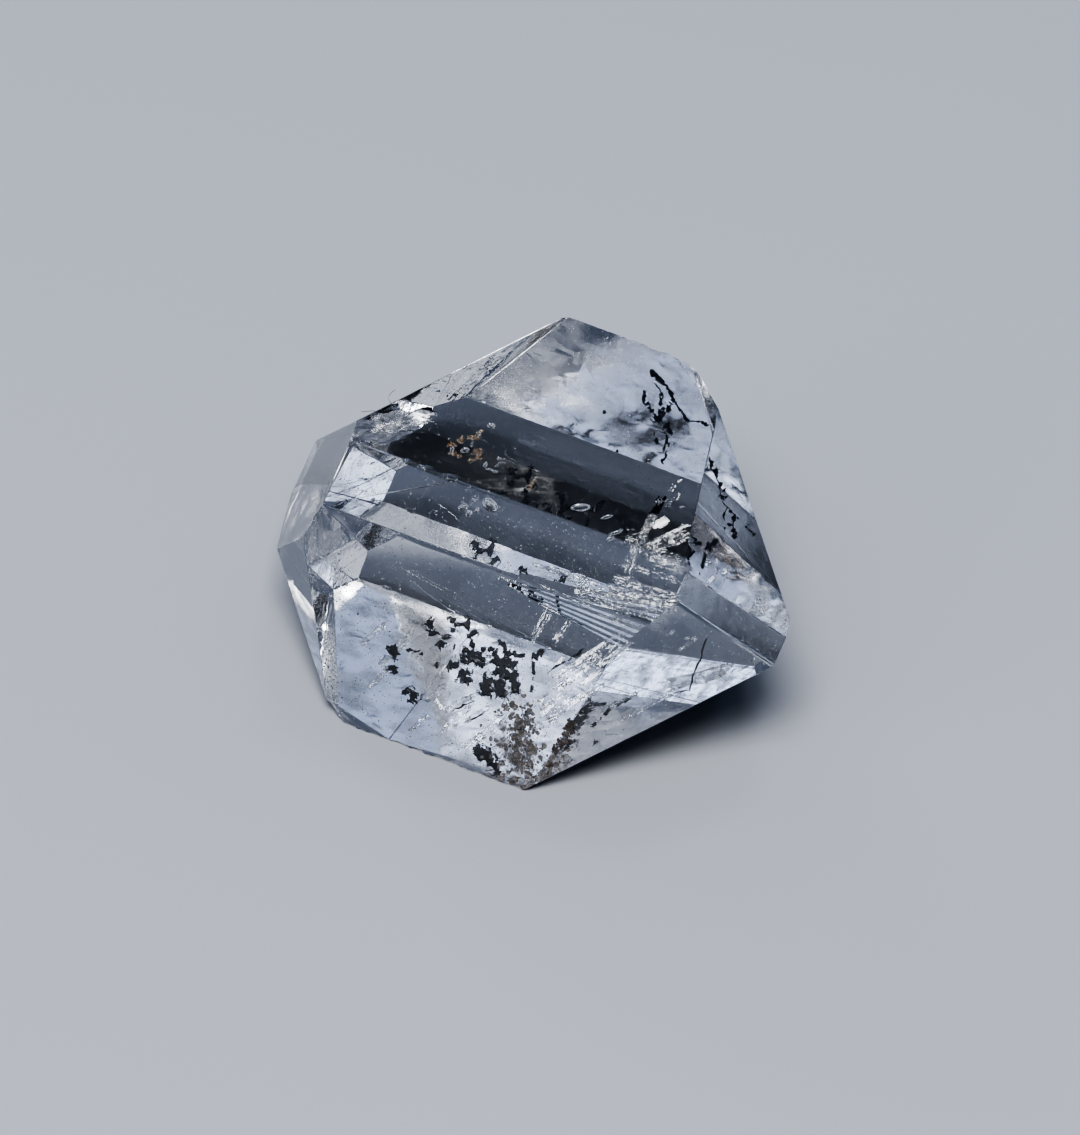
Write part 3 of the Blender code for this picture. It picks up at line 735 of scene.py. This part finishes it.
cracked_quartz = quartz_finish(
    "cracked_quartz", hill_size=0.25 * MM, hill_height=0.006 * MM, least_dull=0.15, most_dull=0.5
)
hollows = []
for right, up, depth, long_radius, short_radius, turn in BUBBLES:
    bpy.ops.object.select_all(action="DESELECT")
    bpy.ops.mesh.primitive_ico_sphere_add(
        subdivisions=3, radius=1, scale=(long_radius * MM, short_radius * MM, short_radius * MM)
    )
    bubble = bpy.context.object
    bpy.ops.object.transform_apply(scale=True)
    bpy.ops.object.mode_set(mode="EDIT")
    bpy.ops.transform.vertex_random(offset=BUBBLE_ROUGHNESS, seed=len(hollows))
    bpy.ops.mesh.vertices_smooth(factor=0.5, repeat=3)
    bpy.ops.mesh.flip_normals()
    bpy.ops.object.mode_set(mode="OBJECT")
    bpy.ops.object.shade_smooth()
    bubble.rotation_euler = (camera_turn @ Matrix.Rotation(math.radians(turn), 3, "Z")).to_euler()
    bubble.location = spot(right, up, depth=depth)
    bubble.data.materials.append(clear_quartz)
    hollows.append(bubble)


def kept_inside(hollow):
    """Put the hollow's place into its mesh, and draw in any corner that comes near a face."""
    turn = hollow.rotation_euler.to_matrix()
    for corner in hollow.data.vertices:
        place = hollow.location + turn @ corner.co
        nearest, normal, *_ = walls.find_nearest(place)
        if (nearest - place).dot(normal) < HOLLOW_MARGIN:
            place = nearest - normal * HOLLOW_MARGIN
        corner.co = place
    hollow.location = hollow.rotation_euler = (0, 0, 0)


for bubble in hollows:
    kept_inside(bubble)
to_light = bpy.data.objects["front"].location.normalized()
chance = random.Random(GAP_SEED)
for right, up, depth, length, breadth, angle, rough_share, dull in GAPS:
    bpy.ops.object.select_all(action="DESELECT")
    bpy.ops.mesh.primitive_grid_add(
        x_subdivisions=GAP_LEAST_CELLS[0] + round(length / GAP_CELL_LENGTH),
        y_subdivisions=GAP_LEAST_CELLS[1] + round(breadth / GAP_CELL_WIDTH), size=1
    )
    gap = bpy.context.object
    drift = Vector([chance.uniform(0, 100) for _ in range(3)])
    for corner in gap.data.vertices:
        rag = sum(strength * noise.noise(corner.co * rate + drift) for strength, rate in GAP_RAGS)
        far = (abs(corner.co.x) ** 3 + abs(corner.co.y) ** 3) ** (1 / 3)
        pull = 1
        if far > GAP_CORE and rough_share:
            pull = min(1, (GAP_RIM + GAP_RIM_RAG * rag) / far)
        corner.co.x *= pull * length
        corner.co.y *= pull * breadth
        rippled = Vector((corner.co.x * GAP_RIPPLE_RATES[0], corner.co.y * GAP_RIPPLE_RATES[1], 0))
        ripple = noise.noise(rippled + drift)
        chips = noise.noise(corner.co * GAP_CHIP_RATE + drift)
        corner.co.z = rough_share * (GAP_RIPPLE * ripple + GAP_CHIPS * chips)
        corner.co *= MM
    thick = gap.modifiers.new("width", "SOLIDIFY")
    thick.thickness = GAP_WIDTH
    bpy.ops.object.modifier_apply(modifier=thick.name)
    bpy.ops.object.mode_set(mode="EDIT")
    bpy.ops.mesh.select_all(action="SELECT")
    bpy.ops.mesh.flip_normals()
    bpy.ops.object.mode_set(mode="OBJECT")
    surface, normal, inward = sight(right, up)
    facing = bent_inward(to_light, normal) - inward
    facing += Vector([chance.uniform(-GAP_TILT, GAP_TILT) for _ in range(3)])
    facing.normalize()
    along = to_right * math.cos(math.radians(angle)) + to_top * math.sin(math.radians(angle))
    along = (along - to_eye * along.dot(facing) / to_eye.dot(facing)).normalized()
    gap.rotation_euler = Matrix((along, facing.cross(along), facing)).transposed().to_euler()
    gap.location = surface + inward * depth * MM
    gap.data.materials.append(cracked_quartz if dull else clear_quartz)
    kept_inside(gap)
    hollows.append(gap)

drops = []
for number in range(WATER_SHAPES):
    bpy.ops.object.select_all(action="DESELECT")
    bpy.ops.mesh.primitive_ico_sphere_add(subdivisions=2, radius=1)
    drop = bpy.context.object
    bpy.ops.object.mode_set(mode="EDIT")
    bpy.ops.transform.vertex_random(offset=WATER_ROUGHNESS, seed=number + WATER_FIRST_SEED)
    bpy.ops.mesh.vertices_smooth(factor=0.5, repeat=2)
    bpy.ops.mesh.flip_normals()
    bpy.ops.object.mode_set(mode="OBJECT")
    drops.append(drop)
places = []
while len(places) < WATER_COUNT:
    right, up = chance.uniform(*WATER_RIGHT), chance.uniform(*WATER_UP)
    place = spot(right, up, depth=chance.uniform(*WATER_DEPTHS))
    if place is None:
        continue
    if noise.noise(place / MM * WATER_PATCH_RATE) < chance.uniform(*WATER_BARE_BELOW):
        continue
    nearest, normal, *_ = walls.find_nearest(place)
    if (nearest - place).dot(normal) > HOLLOW_MARGIN + WATER_SIZES[1] * MM:
        size = chance.uniform(*WATER_SIZES) * MM
        places.append((place, size, chance.uniform(*WATER_FLATNESS)))
water = scattered("trapped_water", drops, places, chance)
for drop in drops:
    bpy.data.objects.remove(drop)
water.data.materials.append(clear_quartz)
hollows.append(water)

bpy.ops.object.select_all(action="DESELECT")
for hollow in hollows:
    hollow.select_set(True)
bpy.context.view_layer.objects.active = crystal
crystal.select_set(True)
bpy.ops.object.join()
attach(crystal, "root")
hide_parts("crystal")

# --- Lint ---------------------------------------------------------------------------------------
# Three short fibres of pale cloth, each a thin round thread bent as it fell. They cling to the
# upper left edge, where part of their length is sunk a little into the quartz.
FIBRE_WIDTH = 0.04 * MM
FIBRE_SIDES = 6
FIBRE_ROUNDING = 2
CRYSTAL_TOP = cad_box[1][2]
FIBRES = (
    # the end that is caught, then points right and up in mm as seen from the camera
    ((-5.50, 5.00), (-5.75, 5.10), (-5.95, 5.06), (-6.23, 5.04)),
    ((-5.00, 5.24), (-5.20, 5.45), (-5.22, 5.60), (-5.10, 5.75), (-4.95, 5.86)),
    ((-5.04, 5.20), (-4.80, 5.46), (-4.40, 5.70), (-4.00, 5.92)),
)

CLOTH_GRAIN = 12000
CLOTH_DULLNESS = 0.8
CLOTH_DARK, CLOTH_PALE = (0.16, 0.15, 0.14, 1), (0.55, 0.53, 0.50, 1)

cloth = bpy.data.materials.new("lint")
cloth.use_nodes = True
nodes, links = cloth.node_tree.nodes, cloth.node_tree.links
cloth_shader = nodes["Principled BSDF"]
cloth_shader.inputs["Roughness"].default_value = CLOTH_DULLNESS
place = nodes.new("ShaderNodeTexCoord")
strands = nodes.new("ShaderNodeTexNoise")
strands.inputs["Scale"].default_value = CLOTH_GRAIN
tone = nodes.new("ShaderNodeValToRGB")
tone.color_ramp.elements[0].color = CLOTH_DARK
tone.color_ramp.elements[1].color = CLOTH_PALE
links.new(place.outputs["Object"], strands.inputs["Vector"])
links.new(strands.outputs["Fac"], tone.inputs["Fac"])
links.new(tone.outputs["Color"], cloth_shader.inputs["Base Color"])

bpy.context.view_layer.update()
for number, points in enumerate(FIBRES):
    root = spot(*points[0])
    path = []
    for x, y in points:
        point = root + (to_right * (x - points[0][0]) + to_top * (y - points[0][1])) * MM
        lean = max(0, point.z + FIBRE_WIDTH - CRYSTAL_TOP) / to_eye.z
        path.append(point - to_eye * lean)
    bpy.ops.object.select_all(action="DESELECT")
    bpy.ops.mesh.primitive_circle_add(
        vertices=FIBRE_SIDES, radius=FIBRE_WIDTH / 2, fill_type="NGON", location=path[0]
    )
    fibre = bpy.context.object
    fibre.name = fibre.data.name = f"lint_{number + 1}"
    bpy.ops.object.transform_apply()
    bpy.ops.object.mode_set(mode="EDIT")
    bpy.ops.mesh.select_all(action="SELECT")
    bpy.ops.transform.rotate(value=math.pi / 2, orient_axis="Y", center_override=path[0])
    for before, after in zip(path, path[1:]):
        bpy.ops.mesh.extrude_region_move(TRANSFORM_OT_translate={"value": after - before})
    bpy.ops.mesh.select_all(action="SELECT")
    bpy.ops.mesh.normals_make_consistent(inside=False)
    bpy.ops.object.mode_set(mode="OBJECT")
    round_off = fibre.modifiers.new("round", "SUBSURF")
    round_off.levels = round_off.render_levels = FIBRE_ROUNDING
    bpy.ops.object.modifier_apply(modifier=round_off.name)
    fibre.data.materials.append(cloth)
    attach(fibre, "root")

# --- Dust ---------------------------------------------------------------------------------------
# Fine pale rock dust, pressed flat on the faces that look up and forward, and flattest on the
# top one. It is thickest on the ridged faces, in rows along their ridges.
DUST_COUNT = 6800
DUST_SIZES = (0.011, 0.036)
DUST_BREADTH = (0.6, 1)
DUST_FLATNESS = 0.10
TOP_DUST_FLATNESS = 0.015
TOP_NORMAL_Z = 0.99
DUST_MARGIN = 0.06 * MM
# Drifts: strength and rate per mm of each noise. Then the rows along the ridges.
DUST_DRIFTS = ((1, 0.8), (0.5, 4))
DUST_ROW, DUST_ROW_STRENGTH, DUST_ROW_RATE = 0.11, 0.8, 0.3
RIDGED_TOLERANCE = 0.05
DUST_BARE_BELOW = (-0.7, 0.4)
DUST_SHAPES = 3
DUST_FIRST_SEED = 5
DUST_ROUGHNESS = 0.4
DUST_RIGHT, DUST_UP = (-8.6, 10.4), (-8.2, 9.2)
DUST_SEED = 31
FULL_TURN = 6.3

specks = []
for number in range(DUST_SHAPES):
    bpy.ops.object.select_all(action="DESELECT")
    bpy.ops.mesh.primitive_ico_sphere_add(subdivisions=1, radius=1)
    speck = bpy.context.object
    bpy.ops.object.mode_set(mode="EDIT")
    bpy.ops.transform.vertex_random(offset=DUST_ROUGHNESS, seed=number + DUST_FIRST_SEED)
    bpy.ops.object.mode_set(mode="OBJECT")
    specks.append(speck.data)
chance = random.Random(DUST_SEED)
corners, facets = [], []
while len(facets) < DUST_COUNT * len(specks[0].polygons):
    seen = sight(chance.uniform(*DUST_RIGHT), chance.uniform(*DUST_UP))
    if seen is None:
        continue
    place, normal, inward = seen
    crowding = sum(strength * noise.noise(place / MM * rate) for strength, rate in DUST_DRIFTS)
    if abs(normal.dot(C_AXIS)) < RIDGED_TOLERANCE:
        row = place.dot(C_AXIS) / MM / DUST_ROW
        along_row = place.x / MM * DUST_ROW_RATE
        crowding += DUST_ROW_STRENGTH * noise.noise(Vector((row, along_row, 0)))
    on_top = normal.z > TOP_NORMAL_Z
    inset = min(cad_box[1][0] - abs(place.x), cad_box[1][1] - abs(place.y), place.z)
    if not on_top:
        inset = min(inset, cad_box[1][2] - place.z)
    if inset < DUST_MARGIN or crowding < chance.uniform(*DUST_BARE_BELOW):
        continue
    shape = chance.choice(specks)
    size = DUST_SIZES[0] + (DUST_SIZES[1] - DUST_SIZES[0]) * chance.random() ** 2
    turn = Matrix.Rotation(chance.uniform(0, FULL_TURN), 3, "Z")
    lie = normal.to_track_quat("Z", "X").to_matrix() @ turn
    flatness = TOP_DUST_FLATNESS if on_top else DUST_FLATNESS
    press = Matrix.Diagonal((size, size * chance.uniform(*DUST_BREADTH), size * flatness)) * MM
    first = len(corners)
    corners.extend(place + lie @ (press @ corner.co) for corner in shape.vertices)
    facets.extend([first + c for c in facet.vertices] for facet in shape.polygons)
dust = bpy.data.objects.new("dust", bpy.data.meshes.new("dust"))
dust.data.from_pydata(corners, [], facets)
bpy.context.collection.objects.link(dust)
for speck in specks:
    bpy.data.meshes.remove(speck)

POWDER_GRAIN = 3000
POWDER_DULLNESS = 0.9
POWDER_TONE_STOPS = (0.35, 0.6)
POWDER_DARK, POWDER_PALE = (0.09, 0.09, 0.10, 1), (0.46, 0.48, 0.54, 1)

powder = bpy.data.materials.new("dust")
powder.use_nodes = True
nodes, links = powder.node_tree.nodes, powder.node_tree.links
powder_shader = nodes["Principled BSDF"]
powder_shader.inputs["Roughness"].default_value = POWDER_DULLNESS
place = nodes.new("ShaderNodeTexCoord")
mixed = nodes.new("ShaderNodeTexNoise")
mixed.inputs["Scale"].default_value = POWDER_GRAIN
tone = nodes.new("ShaderNodeValToRGB")
tone.color_ramp.elements[0].position = POWDER_TONE_STOPS[0]
tone.color_ramp.elements[0].color = POWDER_DARK
tone.color_ramp.elements[1].position = POWDER_TONE_STOPS[1]
tone.color_ramp.elements[1].color = POWDER_PALE
links.new(place.outputs["Object"], mixed.inputs["Vector"])
links.new(mixed.outputs["Fac"], tone.inputs["Fac"])
links.new(tone.outputs["Color"], powder_shader.inputs["Base Color"])
dust.data.materials.append(powder)
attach(dust, "root")
